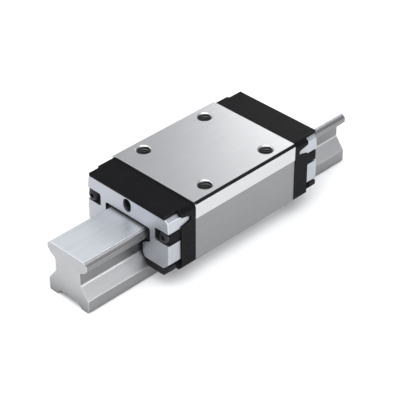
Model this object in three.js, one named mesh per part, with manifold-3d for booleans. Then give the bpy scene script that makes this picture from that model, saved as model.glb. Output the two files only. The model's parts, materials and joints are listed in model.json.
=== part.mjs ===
// Linear guide carriage: a slim recirculating-ball runner block on a length of profiled rail.
// Millimetres. +X runs along the rail, +Y to its left, +Z up. The origin is the centre of the
// rail's underside. The front end of the carriage looks towards -X.
import * as THREE from 'three';
import { mergeVertices } from 'three/addons/utils/BufferGeometryUtils.js';
import Module from 'manifold-3d';

const wasm = await Module();
wasm.setup();

// Rail
const RAIL_LENGTH = 150;
const RAIL_HALF = 11.5;
const RAIL_HEIGHT = 24;
const RAIL_CHAMFER = 0.6;
const BASE_TOP = 6;
const WAIST_HALF = 7.2;
const WAIST_LOW = 12;
const WAIST_HIGH = 17.2;
const CHANNEL_HALF = 7.5;
const CHANNEL_DEPTH = 2.4;
const HOLE_PITCH = 60;
const HOLE_RADIUS = 3.5;
const COUNTERBORE_RADIUS = 5.5;
const COUNTERBORE_DEPTH = 12;

// Cover strip on top of the rail
const SEAT_GAP = 0.02;
const STRIP_HALF = 9.7;
const STRIP_THICKNESS = 0.28;

// Four rows of balls, two on each side of the rail's head
const BALL_RADIUS = 2;
const BALL_PITCH = 5.9;
const RACEWAY_RADIUS = 2.1;
const BALL_Y = 12.3;
const UPPER_BALL_Z = 24.6;
const LOWER_BALL_Z = 18.6;
const RETURN_Y = 20.2;
const UPPER_RETURN_Z = 19.6;
const LOWER_RETURN_Z = 12.6;
const BALL_CLEARANCE = 0.35;

// Steel runner block
const BLOCK_HALF_LENGTH = 28.9;
const BLOCK_HALF = 24;
const BLOCK_BOTTOM = 6.1;
const BLOCK_TOP = 36;
const TOP_CHAMFER = 1;
const END_CHAMFER = 0.7;
const SIDE_STEP = 0.35;
const BAND_LOW = 28.4;
const FOOT_CHAMFER = 2;
const CEILING_Z = 27.6;
const LEG_INNER = 12.6;
const WEB_INNER = 15.2;
const RETURN_BORE = 2.78;
const SEAL_SEAT_HALF = 15.8;
const SEAL_SEAT_TOP = 8.6;
const BOLT_SPACING_X = 35;
const BOLT_SPACING_Y = 35;
const BOLT_RADIUS = 3;
const BOLT_DEPTH = 9;
const BOLT_CHAMFER = 0.5;

// Bearing plates, measured from a ball's centre along its contact line and across it
const PLATE_NEAR = 1.2;
const PLATE_FAR = 4.2;
const PLATE_SIDE = 2.6;
const PLATE_GROOVE = 2.25;
const PLATE_FIT = 0.05;

// Ends of the carriage
const CAP_STEP = 36.5;
const CAP_FACE = 39.2;
const CAP_SHELL = 1.6;
const RETURN_PLATE_THICKNESS = 1.2;
const RETURN_PLATE_FIT = 0.15;
const GUIDE_WIDTH = 3.6;
const HOOD_FACE = 43.7;
const HOOD_UNDERSIDE = 33.95;
const HOOD_HALF = 21.4;
const BOSS_FACE = 42.2;
const TRAY_BACK = 36.6;
const TRAY_FACE = 43.1;
const TRAY_SHEET = 1.2;
const TRAY_GAP = 0.06;
const SEAL_BACK = 39.32;
const SEAL_FACE = 41.7;
const SEAL_FIT = 0.35;
const NOTCH = { inner: 15.6, low: 21.8, high: 27.6 };
const BOSS = { inner: 16, outer: 23.3, low: 22.15, high: 27.25 };
const WING = { tip: 31.4, low: 28.2, high: 32.6, taper: 1.1 };
const SEAL_LOW = 6.2;
const SEAL_LEDGE_TOP = 11.4;
const SEAL_LEDGE_FIT = 0.1;
const PORT_CLEARANCE = 0.15;

// Screws and lubrication ports
const SCREW_Y = 20.4;
const SCREW_Z = 24.7;
const SCREW_RADIUS = 1.5;
const SCREW_LENGTH = 19.4;
const SCREW_BORE = 1.72;
const SCREW_HEAD_RADIUS = 2.6;
const SCREW_HEAD_HEIGHT = 1.35;
const PORT_Z = 30.6;
const PORT_RADIUS = 2;
const PORT_FACE = 41;
const PORT_DEPTH = 4.4;
const PORT_SLOT = { half: 2.2, low: 27, high: 33 };

const SIDES = [{ name: 'left', sign: 1 }, { name: 'right', sign: -1 }];
const ENDS = [{ name: 'front', sign: -1 }, { name: 'rear', sign: 1 }];
const ROWS = [
  { name: 'upper', ballZ: UPPER_BALL_Z, returnZ: UPPER_RETURN_Z, up: 1 },
  { name: 'lower', ballZ: LOWER_BALL_Z, returnZ: LOWER_RETURN_Z, up: -1 },
];

const material = (color, roughness, metalness) =>
  new THREE.MeshStandardMaterial({ color, roughness, metalness });
const groundSteel = material(0xc9cdd2, 0.3, 0.95);
const hardSteel = material(0x9da1a6, 0.2, 0.95);
const stripSteel = material(0xc4cad2, 0.25, 0.95);
const scraperSteel = material(0xb7bdca, 0.35, 0.8);
const blackPlastic = material(0x141415, 0.5, 0);
const palePlastic = material(0xd8d6cc, 0.55, 0);
const rubber = material(0x1b1b1e, 0.8, 0);
const blackSteel = material(0x1f2022, 0.4, 0.7);
const ballSteel = material(0xd9dce0, 0.12, 1);

// A closed geometry as a manifold solid, turned the right way out.
function solid(geometry) {
  const bare = geometry.index ? geometry.toNonIndexed() : geometry.clone();
  bare.deleteAttribute('normal');
  bare.deleteAttribute('uv');
  const merged = mergeVertices(bare, 1e-5);
  const vertProperties = Float32Array.from(merged.attributes.position.array);
  const corners = Array.from(merged.index.array);
  const point = (i) => new THREE.Vector3().fromArray(vertProperties, 3 * i);
  const triVerts = [];
  let volume = 0;
  for (let i = 0; i < corners.length; i += 3) {
    const [a, b, c] = corners.slice(i, i + 3);
    if (a === b || b === c || c === a) continue;
    triVerts.push([a, b, c]);
    volume += point(a).dot(point(b).cross(point(c)));
  }
  if (volume < 0) triVerts.forEach((corner) => corner.reverse());
  return new wasm.Manifold(
    new wasm.Mesh({ numProp: 3, vertProperties, triVerts: Uint32Array.from(triVerts.flat()) }));
}

function geometryOf(body) {
  const { vertProperties, triVerts } = body.getMesh();
  const geometry = new THREE.BufferGeometry();
  geometry.setAttribute('position', new THREE.BufferAttribute(vertProperties, 3));
  geometry.setIndex(new THREE.BufferAttribute(triVerts, 1));
  geometry.computeVertexNormals();
  return geometry;
}

const joined = (first, ...others) => others.reduce((sum, other) => sum.add(other), first);
const cut = (first, ...tools) => tools.reduce((rest, tool) => rest.subtract(tool), first);

// An outline of [y, z] points, swept along X from one end to the other.
function prism(outline, xa, xb) {
  const shape = new THREE.Shape(outline.map(([y, z]) => new THREE.Vector2(y, z)));
  const geometry = new THREE.ExtrudeGeometry(shape, { depth: Math.abs(xb - xa), bevelEnabled: false });
  geometry.applyMatrix4(new THREE.Matrix4().set(0, 0, 1, 0, 1, 0, 0, 0, 0, 1, 0, 0, 0, 0, 0, 1));
  geometry.translate(Math.min(xa, xb), 0, 0);
  return solid(geometry);
}

// An outline of [x, z] points, swept along Y from one side to the other.
function slab(outline, ya, yb) {
  const shape = new THREE.Shape(outline.map(([x, z]) => new THREE.Vector2(x, z)));
  const geometry = new THREE.ExtrudeGeometry(shape, { depth: Math.abs(yb - ya), bevelEnabled: false });
  geometry.rotateX(Math.PI / 2);
  geometry.translate(0, Math.max(ya, yb), 0);
  return solid(geometry);
}

function box(xa, xb, ya, yb, za, zb) {
  const geometry = new THREE.BoxGeometry(Math.abs(xb - xa), Math.abs(yb - ya), Math.abs(zb - za));
  geometry.translate((xa + xb) / 2, (ya + yb) / 2, (za + zb) / 2);
  return solid(geometry);
}

// A profile of [radius, distance] points, turned about a line that leaves `at` along `axis`.
function turned(profile, at, axis, segments) {
  const points = profile.map(([r, h]) => new THREE.Vector2(r, h));
  const geometry = new THREE.LatheGeometry(points, segments);
  const turn = new THREE.Quaternion().setFromUnitVectors(new THREE.Vector3(0, 1, 0), axis);
  geometry.applyQuaternion(turn);
  geometry.translate(...at);
  return solid(geometry);
}

const rod = (radius, length, at, axis, segments = 24) =>
  turned([[0, 0], [radius, 0], [radius, length], [0, length]], at, axis, segments);

const alongX = (sign) => new THREE.Vector3(sign, 0, 0);
const UP = new THREE.Vector3(0, 0, 1);

function arc(y, z, radius, fromDegrees, toDegrees, steps) {
  return Array.from({ length: steps + 1 }, (_, i) => {
    const angle = THREE.MathUtils.degToRad(fromDegrees + ((toDegrees - fromDegrees) * i) / steps);
    return [y + radius * Math.cos(angle), z + radius * Math.sin(angle)];
  });
}

const flipped = (outline, side) => outline.map(([y, z]) => [side * y, z]);
const bothSides = (half) => [...half, ...flipped(half, -1).reverse()];

// A closed outline moved outwards by a distance, each corner along its mitre.
function grown(outline, distance) {
  const points = outline.map(([y, z]) => new THREE.Vector2(y, z));
  return points.map((point, i) => {
    const before = point.clone().sub(points.at(i - 1)).normalize();
    const after = points[(i + 1) % points.length].clone().sub(point).normalize();
    const bisector = new THREE.Vector2(before.y + after.y, -before.x - after.x).normalize();
    const reach = distance / bisector.dot(new THREE.Vector2(before.y, -before.x));
    return [point.x + bisector.x * reach, point.y + bisector.y * reach];
  });
}

// The rail: a flat base, sides that slope in to a waist, and a head with two raceways on each side.
function railOutline() {
  const sideAngle = THREE.MathUtils.radToDeg(Math.acos((RAIL_HALF - BALL_Y) / RACEWAY_RADIUS));
  return bothSides([
    [CHANNEL_HALF - CHANNEL_DEPTH, CHANNEL_DEPTH],
    [CHANNEL_HALF, 0],
    [RAIL_HALF - RAIL_CHAMFER, 0],
    [RAIL_HALF, RAIL_CHAMFER],
    [RAIL_HALF, BASE_TOP],
    [WAIST_HALF + 0.5, WAIST_LOW - 0.7],
    [WAIST_HALF, WAIST_LOW],
    [WAIST_HALF, WAIST_HIGH],
    ...arc(BALL_Y, LOWER_BALL_Z, RACEWAY_RADIUS, 165, sideAngle, 5),
    ...arc(BALL_Y, UPPER_BALL_Z, RACEWAY_RADIUS, 360 - sideAngle, 206, 5),
    [RAIL_HALF - 1.4, RAIL_HEIGHT],
  ]);
}

function guideRail() {
  const bar = prism(railOutline(), -RAIL_LENGTH / 2, RAIL_LENGTH / 2);
  const holes = [-HOLE_PITCH, 0, HOLE_PITCH].map((x) => {
    const floor = RAIL_HEIGHT - COUNTERBORE_DEPTH;
    const profile = [
      [0, -1],
      [HOLE_RADIUS, -1],
      [HOLE_RADIUS, floor],
      [COUNTERBORE_RADIUS, floor],
      [COUNTERBORE_RADIUS, RAIL_HEIGHT + 1],
      [0, RAIL_HEIGHT + 1],
    ];
    return turned(profile, [x, 0, 0], UP, 24);
  });
  return cut(bar, ...holes);
}

function coverStrip() {
  const low = RAIL_HEIGHT + SEAT_GAP;
  const high = low + STRIP_THICKNESS;
  const outline = bothSides([[STRIP_HALF, low], [STRIP_HALF, high - 0.1], [STRIP_HALF - 0.1, high]]);
  return prism(outline, -RAIL_LENGTH / 2, RAIL_LENGTH / 2);
}

// A point measured from a loaded ball's centre: `out` along its 45 degree contact line, away
// from the rail, and `across` towards the nearer of the block's roof and foot.
function fromBall(row, out, across) {
  const y = BALL_Y + (out - across) * Math.SQRT1_2;
  const z = row.ballZ + row.up * (out + across) * Math.SQRT1_2;
  return [y, z];
}

// Half of the block's section: a leg with a seat for the side seal, the ground reference band
// high on the side, and the cavity with its two slanted seats for the bearing plates.
function blockOutline() {
  const sideY = BLOCK_HALF - SIDE_STEP;
  const [upper, lower] = ROWS;
  const seat = PLATE_SIDE + PLATE_FIT;
  const far = PLATE_FAR + PLATE_FIT;
  const roofCorner = (CEILING_Z - upper.ballZ) / Math.SQRT1_2 - seat;
  const webOut = (WEB_INNER - BALL_Y) / Math.SQRT1_2 - seat;
  const legOut = (LEG_INNER - BALL_Y) / Math.SQRT1_2 + seat;
  const outside = [
    [SEAL_SEAT_HALF, BLOCK_BOTTOM],
    [sideY - FOOT_CHAMFER, BLOCK_BOTTOM],
    [sideY, BLOCK_BOTTOM + FOOT_CHAMFER],
    [sideY, BAND_LOW - SIDE_STEP],
    [BLOCK_HALF, BAND_LOW],
    [BLOCK_HALF, BLOCK_TOP - TOP_CHAMFER],
    [BLOCK_HALF - TOP_CHAMFER, BLOCK_TOP],
  ];
  const cavity = [
    fromBall(upper, roofCorner, seat),
    fromBall(upper, far, seat),
    fromBall(upper, far, -seat),
    fromBall(upper, webOut, -seat),
    fromBall(lower, webOut, -seat),
    fromBall(lower, far, -seat),
    fromBall(lower, far, seat),
    fromBall(lower, legOut, seat),
    [LEG_INNER, SEAL_SEAT_TOP],
    [SEAL_SEAT_HALF, SEAL_SEAT_TOP],
  ];
  return [...bothSides(outside), ...flipped([...cavity].reverse(), -1), ...cavity];
}

function tappedHole(x, y) {
  const mouth = BOLT_RADIUS + BOLT_CHAMFER;
  const profile = [
    [0, -BOLT_DEPTH],
    [BOLT_RADIUS, 1 - BOLT_DEPTH],
    [BOLT_RADIUS, -BOLT_CHAMFER],
    [mouth, 0],
    [mouth, 1],
    [0, 1],
  ];
  return turned(profile, [x, y, BLOCK_TOP], UP, 24);
}

// A wedge that takes the vertical edge off one corner of the block.
function endChamfer(end, side) {
  const x = end * BLOCK_HALF_LENGTH;
  const y = side * BLOCK_HALF;
  const shape = new THREE.Shape([
    new THREE.Vector2(x - end * END_CHAMFER, y + side),
    new THREE.Vector2(x - end * END_CHAMFER, y),
    new THREE.Vector2(x, y - side * END_CHAMFER),
    new THREE.Vector2(x + end, y - side * END_CHAMFER),
    new THREE.Vector2(x + end, y + side),
  ]);
  return solid(new THREE.ExtrudeGeometry(shape, { depth: BLOCK_TOP + 1, bevelEnabled: false }));
}

function blockBody() {
  const tools = [];
  for (const { sign: side } of SIDES) {
    for (const row of ROWS) {
      const start = [-BLOCK_HALF_LENGTH - 1, side * RETURN_Y, row.returnZ];
      tools.push(rod(RETURN_BORE, 2 * BLOCK_HALF_LENGTH + 2, start, alongX(1), 20));
    }
    for (const { sign: end } of ENDS) {
      const start = [end * (BLOCK_HALF_LENGTH + 1), side * SCREW_Y, SCREW_Z];
      tools.push(rod(SCREW_BORE, 8, start, alongX(-end), 12));
      tools.push(endChamfer(end, side));
      tools.push(tappedHole((end * BOLT_SPACING_X) / 2, (side * BOLT_SPACING_Y) / 2));
    }
  }
  return cut(prism(blockOutline(), -BLOCK_HALF_LENGTH, BLOCK_HALF_LENGTH), ...tools);
}

function bearingPlate(row, side) {
  const lip = Math.sqrt(PLATE_GROOVE ** 2 - PLATE_NEAR ** 2);
  const lipAngle = Math.atan2(lip, PLATE_NEAR);
  const groove = Array.from({ length: 7 }, (_, i) => {
    const angle = lipAngle * (1 - i / 3);
    return [PLATE_GROOVE * Math.cos(angle), PLATE_GROOVE * Math.sin(angle)];
  });
  const section = [
    [PLATE_NEAR, -PLATE_SIDE],
    [PLATE_FAR, -PLATE_SIDE],
    [PLATE_FAR, PLATE_SIDE],
    [PLATE_NEAR, PLATE_SIDE],
    ...groove,
  ];
  const outline = flipped(section.map(([out, across]) => fromBall(row, out, across)), side);
  const half = BLOCK_HALF_LENGTH - PLATE_FIT;
  return prism(outline, -half, half);
}

// Where a row turns round at an end: the middle between its loaded line and its return line.
function turnOf(row) {
  const across = RETURN_Y - BALL_Y;
  const drop = row.returnZ - row.ballZ;
  return {
    y: (RETURN_Y + BALL_Y) / 2,
    z: (row.returnZ + row.ballZ) / 2,
    radius: Math.hypot(across, drop) / 2,
    along: [across, drop].map((v) => v / Math.hypot(across, drop)),
  };
}

// A round disc in the plane that a row's loop lies in, centred on the turn.
function turnDisc(row, side, end, radius, width, segments) {
  const { y, z, along } = turnOf(row);
  const normal = new THREE.Vector3(0, -side * along[1], along[0]);
  const at = new THREE.Vector3(end * BLOCK_HALF_LENGTH, side * y, z).addScaledVector(normal, -width / 2);
  return rod(radius, width, at.toArray(), normal, segments);
}

// A chain of balls and the thin links between them, strung round a row's closed loop: a ring
// whose thickness swells at each ball.
function ballChain(row, side) {
  const { y, z, radius, along } = turnOf(row);
  const half = BLOCK_HALF_LENGTH;
  const loop = new THREE.CurvePath();
  loop.add(new THREE.LineCurve(new THREE.Vector2(-half, -radius), new THREE.Vector2(half, -radius)));
  loop.add(new THREE.EllipseCurve(half, 0, radius, radius, -Math.PI / 2, Math.PI / 2));
  loop.add(new THREE.LineCurve(new THREE.Vector2(half, radius), new THREE.Vector2(-half, radius)));
  loop.add(new THREE.EllipseCurve(-half, 0, radius, radius, Math.PI / 2, (3 * Math.PI) / 2));
  const length = loop.getLength();
  const balls = Math.floor(length / BALL_PITCH);
  const ringOffsets = [-1.85, -0.75, 0.75, 1.85];
  const rings = balls * ringOffsets.length;
  const sides = 6;

  const chain = new THREE.TorusGeometry(1, 0.5, sides, rings);
  const frame = new THREE.Matrix4().makeBasis(
    new THREE.Vector3(1, 0, 0),
    new THREE.Vector3(0, side * along[0], along[1]),
    new THREE.Vector3(0, -along[1], side * along[0]),
  ).setPosition(0, side * y, z);
  const position = chain.attributes.position;
  for (let i = 0; i < position.count; i += 1) {
    const ring = i % (rings + 1) % rings;
    const angle = (2 * Math.PI * Math.floor(i / (rings + 1))) / sides;
    const offset = ringOffsets[ring % ringOffsets.length];
    const ball = Math.floor(ring / ringOffsets.length);
    const u = ((ball + 0.5) * (length / balls) + offset) / length;
    const centre = loop.getPointAt(u);
    const tangent = loop.getTangentAt(u);
    const reach = Math.sqrt(BALL_RADIUS ** 2 - offset ** 2);
    const outward = new THREE.Vector3(tangent.y, -tangent.x, 0).multiplyScalar(reach * Math.cos(angle));
    const point = new THREE.Vector3(centre.x, centre.y, reach * Math.sin(angle)).add(outward);
    position.setXYZ(i, ...point.applyMatrix4(frame).toArray());
  }
  return solid(chain);
}

function returnTube(row, side) {
  const half = BLOCK_HALF_LENGTH - PLATE_FIT;
  const inner = BALL_RADIUS + BALL_CLEARANCE;
  const outer = 2.7;
  const profile = [[inner, 0], [outer, 0], [outer, 2 * half], [inner, 2 * half], [inner, 0]];
  return turned(profile, [-half, side * RETURN_Y, row.returnZ], alongX(1), 18);
}

// The strip between the two loaded rows of a side, flared where it meets the block.
function middleRetainer(side) {
  const middle = (UPPER_BALL_Z + LOWER_BALL_Z) / 2;
  const half = [[11.95, 0.65], [13.6, 0.65], [14.8, 1.3], [15.1, 1.3]];
  const outline = [
    ...half.map(([y, z]) => [side * y, middle + z]),
    ...half.map(([y, z]) => [side * y, middle - z]).reverse(),
  ];
  return prism(outline, -BLOCK_HALF_LENGTH, BLOCK_HALF_LENGTH);
}

// The sheet under the block's roof, whose edges hold both upper rows.
function upperRetainer() {
  const high = CEILING_Z - 0.1;
  const outline = bothSides([[10.4, high - 1], [11, high - 0.6], [11, high]]);
  return prism(outline, -BLOCK_HALF_LENGTH, BLOCK_HALF_LENGTH);
}

// The strip on the inside of a leg, which reaches into the rail's waist under the lower row.
function lowerRetainer(side) {
  const outline = [
    [11.2, 9.2],
    [12.45, 9.2],
    [12.45, 14.2],
    [11.1, 15.2],
    [11, 16.6],
    [9.7, 16.6],
    [9.3, 16],
    [9.3, 12.6],
  ];
  return prism(flipped(outline, side), -BLOCK_HALF_LENGTH, BLOCK_HALF_LENGTH);
}

// The rubber strip in the foot of a leg, with a lip that leans towards the rail's base.
function sideSeal(side) {
  const outline = [
    [12.2, 6.35],
    [15.6, 6.35],
    [15.6, 8.4],
    [12.3, 8.4],
    [10.7, 8.95],
    [10.5, 8.75],
    [12, 7.8],
  ];
  const half = BLOCK_HALF_LENGTH - 0.1;
  return prism(flipped(outline, side), -half, half);
}

// The outside of an arch over the rail, used for everything at the carriage's ends.
function archOutline({ half, shoulder, crown, top, bottom, foot }) {
  return bothSides([
    [half - foot, bottom],
    [half, bottom + foot],
    [half, shoulder],
    [crown + 0.9, top - 2.1],
    [crown + 0.5, top - 0.7],
    [crown - 0.7, top],
  ]);
}

const CAP_ARCH = { half: 24, shoulder: 27.8, crown: 23.1, top: 35.4, bottom: 6.6, foot: 2 };
const TRAY_ARCH = { half: 23.3, shoulder: 28.4, crown: 21.9, top: 33.85, bottom: 9.6, foot: 3.2 };
const CAP_DOORWAY = bothSides([[12.4, -1], [12.4, 24.1], [11.4, 25.1]]);

// The scraper plate's doorway follows the rail's section at a small distance.
const TRAY_DOORWAY = bothSides([
  [9.55, -1],
  [9.55, TRAY_ARCH.bottom],
  [8.5, 12.3],
  [8.5, 16.6],
  [10.6, 17.9],
  [12.75, 19],
  [12.75, 24.1],
  [11.4, 25.45],
]);

const inset = (arch, d) => ({
  ...arch,
  half: arch.half - d,
  crown: arch.crown - d,
  top: arch.top - d,
  bottom: arch.bottom + d,
});

// The plate against the block's end face: eight ball holes, and a half-round guide in each turn.
function returnPlate(end) {
  const near = BLOCK_HALF_LENGTH + 0.05;
  const far = near + RETURN_PLATE_THICKNESS;
  const rim = CAP_SHELL + RETURN_PLATE_FIT;
  let plate = cut(
    prism(archOutline(inset(CAP_ARCH, rim)), end * near, end * far),
    prism(CAP_DOORWAY, end * (near - 1), end * (far + 1)),
  );
  const block = box(end * (near - 9), end * near, -30, 30, 0, 40);
  for (const { sign: side } of SIDES) {
    for (const row of ROWS) {
      const reach = turnOf(row).radius - BALL_RADIUS - BALL_CLEARANCE;
      const guide = turnDisc(row, side, end, reach, GUIDE_WIDTH, 24);
      plate = plate.add(guide.subtract(block));
    }
    for (const [y, z] of ROWS.flatMap((row) => [[BALL_Y, row.ballZ], [RETURN_Y, row.returnZ]])) {
      plate = plate.subtract(rod(2.4, 8, [end * (near - 1), side * y, z], alongX(end), 18));
    }
    plate = plate.subtract(screwBore(end, side));
  }
  return plate;
}

function screwBore(end, side) {
  const start = [end * (BLOCK_HALF_LENGTH - 1), side * SCREW_Y, SCREW_Z];
  return rod(SCREW_BORE, 16, start, alongX(end), 12);
}

// What the scraper plate fits over: its inside, less a small gap, down to the cap's own foot.
const noseOutline = () => archOutline({
  ...inset(TRAY_ARCH, TRAY_SHEET + TRAY_GAP),
  bottom: CAP_ARCH.bottom,
  foot: CAP_ARCH.foot,
});

// The tapered space on a side that a wing of the scraper plate takes, with a margin round it.
function wingSpace(end, side, margin) {
  const { tip, low, high, taper } = WING;
  const outline = [
    [end * (tip - margin), low + taper - margin],
    [end * TRAY_BACK, low - margin],
    [end * (TRAY_BACK + 1), low - margin],
    [end * (TRAY_BACK + 1), high + margin],
    [end * TRAY_BACK, high + margin],
    [end * (tip - margin), high - taper + margin],
  ];
  return slab(outline, side * 18, side * 30);
}

// The black end cap: a shell round the return plate, a half-round pocket for each turn, a nose
// that the scraper plate fits over, a hood above it and a boss for each screw.
function endCap(end) {
  const near = BLOCK_HALF_LENGTH + SEAT_GAP;
  const lid = BLOCK_HALF_LENGTH + RETURN_PLATE_THICKNESS + 0.1;
  const hoodTop = CAP_ARCH.top;
  const hood = bothSides([
    [HOOD_HALF, HOOD_UNDERSIDE],
    [HOOD_HALF + 0.6, HOOD_UNDERSIDE + 0.5],
    [HOOD_HALF, hoodTop - 0.5],
    [HOOD_HALF - 0.6, hoodTop],
  ]);
  const bosses = SIDES.map(({ sign }) => box(
    end * (CAP_STEP - 1), end * BOSS_FACE,
    sign * BOSS.inner, sign * BOSS.outer, BOSS.low, BOSS.high));
  const core = prism(noseOutline(), end * (near - 1), end * (CAP_FACE + 1));
  const wings = SIDES.map(({ sign }) => cut(wingSpace(end, sign, TRAY_GAP), core));
  const cap = joined(
    cut(prism(archOutline(CAP_ARCH), end * near, end * CAP_STEP), ...wings),
    prism(noseOutline(), end * (CAP_STEP - 1), end * CAP_FACE),
    prism(hood, end * (CAP_STEP - 1), end * HOOD_FACE),
    ...bosses,
  );
  const tools = [
    prism(CAP_DOORWAY, end * (near - 1), end * (HOOD_FACE + 1)),
    prism(archOutline(inset(CAP_ARCH, CAP_SHELL)), end * (near - 1), end * lid),
    rod(PORT_RADIUS + PORT_CLEARANCE, 12, [end * (lid - 1), 0, PORT_Z], alongX(end), 16),
  ];
  for (const { sign: side } of SIDES) {
    tools.push(screwBore(end, side));
    for (const row of ROWS) {
      const reach = turnOf(row).radius + BALL_RADIUS + BALL_CLEARANCE;
      tools.push(turnDisc(row, side, end, reach, 2 * (BALL_RADIUS + BALL_CLEARANCE), 32));
    }
  }
  return cut(cap, ...tools);
}

const notchBox = (end, side, near, margin) => box(
  end * near, end * (TRAY_FACE + 1),
  side * (NOTCH.inner - margin), side * (BLOCK_HALF + 1), NOTCH.low - margin, NOTCH.high + margin);

// The pale scraper plate: a sheet with its outer edges turned back over the seal and the cap's
// nose, a tapered wing on each side, and a notch for each screw boss.
function scraperPlate(end) {
  const sheetBack = TRAY_FACE - TRAY_SHEET;
  const shell = prism(archOutline(TRAY_ARCH), end * WING.tip, end * TRAY_FACE);
  const behind = box(end * (WING.tip - 1), end * TRAY_BACK, -30, 30, 0, 40);
  const wings = SIDES.map(({ sign }) => wingSpace(end, sign, 0));
  const body = cut(shell, cut(behind, ...wings));
  const hollow = archOutline({ ...inset(TRAY_ARCH, TRAY_SHEET), bottom: 0 });
  const rims = SIDES.map(({ sign }) => notchBox(end, sign, CAP_FACE + TRAY_GAP, TRAY_SHEET));
  const notches = SIDES.map(({ sign }) => notchBox(end, sign, WING.tip, 0));
  const { half, low, high } = PORT_SLOT;
  const slot = [
    ...arc(0, high - half, half, 0, 180, 8),
    ...arc(0, low + half, half, 180, 360, 8),
  ];
  return cut(
    body,
    cut(prism(hollow, end * (WING.tip - 1), end * sheetBack), ...rims),
    prism(slot, end * sheetBack - end, end * (TRAY_FACE + 1)),
    prism(TRAY_DOORWAY, end * (WING.tip - 1), end * (TRAY_FACE + 1)),
    ...notches,
  );
}

// The rubber end seal, cut to the rail's own section: it fills the scraper plate and reaches
// below it, to wipe the slopes of the rail's base. Its ledge closes the space under the plate.
function endSeal(end) {
  const margin = TRAY_SHEET + 0.25;
  const outline = archOutline({ ...inset(TRAY_ARCH, margin), bottom: SEAL_LOW });
  const under = archOutline({ ...inset(TRAY_ARCH, SEAL_LEDGE_FIT), bottom: SEAL_LOW });
  const plate = archOutline(inset(TRAY_ARCH, -SEAL_LEDGE_FIT));
  const ledge = cut(
    prism(under, end * SEAL_BACK, end * (TRAY_FACE - SEAL_LEDGE_FIT)),
    prism(plate, end * (SEAL_BACK - 1), end * (TRAY_FACE + 1)),
    box(end * (SEAL_BACK - 1), end * (TRAY_FACE + 1), -BLOCK_HALF, BLOCK_HALF, SEAL_LEDGE_TOP, BLOCK_TOP),
  );
  const rail = grown(railOutline(), SEAL_FIT);
  return cut(
    joined(prism(outline, end * SEAL_BACK, end * SEAL_FACE), ledge),
    prism(rail, end * (SEAL_BACK - 1), end * (TRAY_FACE + 1)),
    box(end * (SEAL_BACK - 1), end * (SEAL_FACE + 1), -STRIP_HALF - 0.2, STRIP_HALF + 0.2, RAIL_HEIGHT - 1,
      RAIL_HEIGHT + STRIP_THICKNESS + SEAL_FIT),
    rod(PORT_RADIUS + 0.5, 6, [end * (SEAL_BACK - 1), 0, PORT_Z], alongX(end), 16),
    ...SIDES.map(({ sign }) => notchBox(end, sign, CAP_FACE, margin)),
  );
}

// A hexagonal socket, sunk into a face from `at` against `axis`.
const socket = (acrossFlats, depth, at, axis) => {
  const start = new THREE.Vector3(...at).addScaledVector(axis, -depth);
  return rod(acrossFlats / Math.sqrt(3), depth + 1, start.toArray(), axis, 6);
};

function capScrew(end, side) {
  const seat = BOSS_FACE + SEAT_GAP;
  const profile = [
    [0, -SCREW_LENGTH],
    [SCREW_RADIUS - 0.4, -SCREW_LENGTH],
    [SCREW_RADIUS, 0.4 - SCREW_LENGTH],
    [SCREW_RADIUS, 0],
    [SCREW_HEAD_RADIUS, 0],
    [SCREW_HEAD_RADIUS, 0.35],
    [SCREW_HEAD_RADIUS * 0.85, SCREW_HEAD_HEIGHT - 0.35],
    [SCREW_HEAD_RADIUS * 0.55, SCREW_HEAD_HEIGHT],
    [0, SCREW_HEAD_HEIGHT],
  ];
  const at = [end * seat, side * SCREW_Y, SCREW_Z];
  const crown = [end * (seat + SCREW_HEAD_HEIGHT), side * SCREW_Y, SCREW_Z];
  return cut(turned(profile, at, alongX(end), 20), socket(2, 1, crown, alongX(end)));
}

// A headless screw with a hexagonal socket in its outer end.
function plug(radius, length, face, axis) {
  const profile = [
    [0, -length],
    [radius - 0.3, -length],
    [radius, 0.3 - length],
    [radius, -0.2],
    [radius - 0.2, 0],
    [0, 0],
  ];
  return cut(turned(profile, face, axis, 16), socket(radius, radius, face, axis));
}

const carriage = new THREE.Group();

function place(name, body, look) {
  const mesh = new THREE.Mesh(geometryOf(body), look);
  mesh.name = name;
  carriage.add(mesh);
}

place('guide_rail', guideRail(), groundSteel);
place('rail_cover_strip', coverStrip(), stripSteel);
place('runner_block', blockBody(), groundSteel);
place('ball_retainer_roof', upperRetainer(), palePlastic);
for (const { name: sideName, sign: side } of SIDES) {
  for (const row of ROWS) {
    place(`bearing_plate_${row.name}_${sideName}`, bearingPlate(row, side), hardSteel);
    place(`ball_chain_${row.name}_${sideName}`, ballChain(row, side), ballSteel);
    place(`return_tube_${row.name}_${sideName}`, returnTube(row, side), palePlastic);
  }
  place(`ball_retainer_middle_${sideName}`, middleRetainer(side), palePlastic);
  place(`ball_retainer_foot_${sideName}`, lowerRetainer(side), palePlastic);
  place(`side_seal_${sideName}`, sideSeal(side), rubber);
}
for (const { name: endName, sign: end } of ENDS) {
  place(`return_plate_${endName}`, returnPlate(end), palePlastic);
  place(`end_cap_${endName}`, endCap(end), blackPlastic);
  place(`end_seal_${endName}`, endSeal(end), rubber);
  place(`scraper_plate_${endName}`, scraperPlate(end), scraperSteel);
  const port = [end * PORT_FACE, 0, PORT_Z];
  place(`lube_plug_${endName}`, plug(PORT_RADIUS, PORT_DEPTH, port, alongX(end)), blackSteel);
  for (const { name: sideName, sign: side } of SIDES) {
    place(`cap_screw_${endName}_${sideName}`, capScrew(end, side), blackSteel);
  }
}

export default carriage;
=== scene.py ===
"""Looks for the linear guide carriage: finely modelled pieces over the CAD nodes, and their materials.

Shapes are built in millimetres in the row frame (+X along the rail, +Z up) and scaled once, when a
piece is finished. Sizes come from the boxes of the CAD nodes wherever a box gives them.
"""
import json
import math

import bmesh
import bpy
import numpy as np
from mathutils import Matrix, Vector


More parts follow.
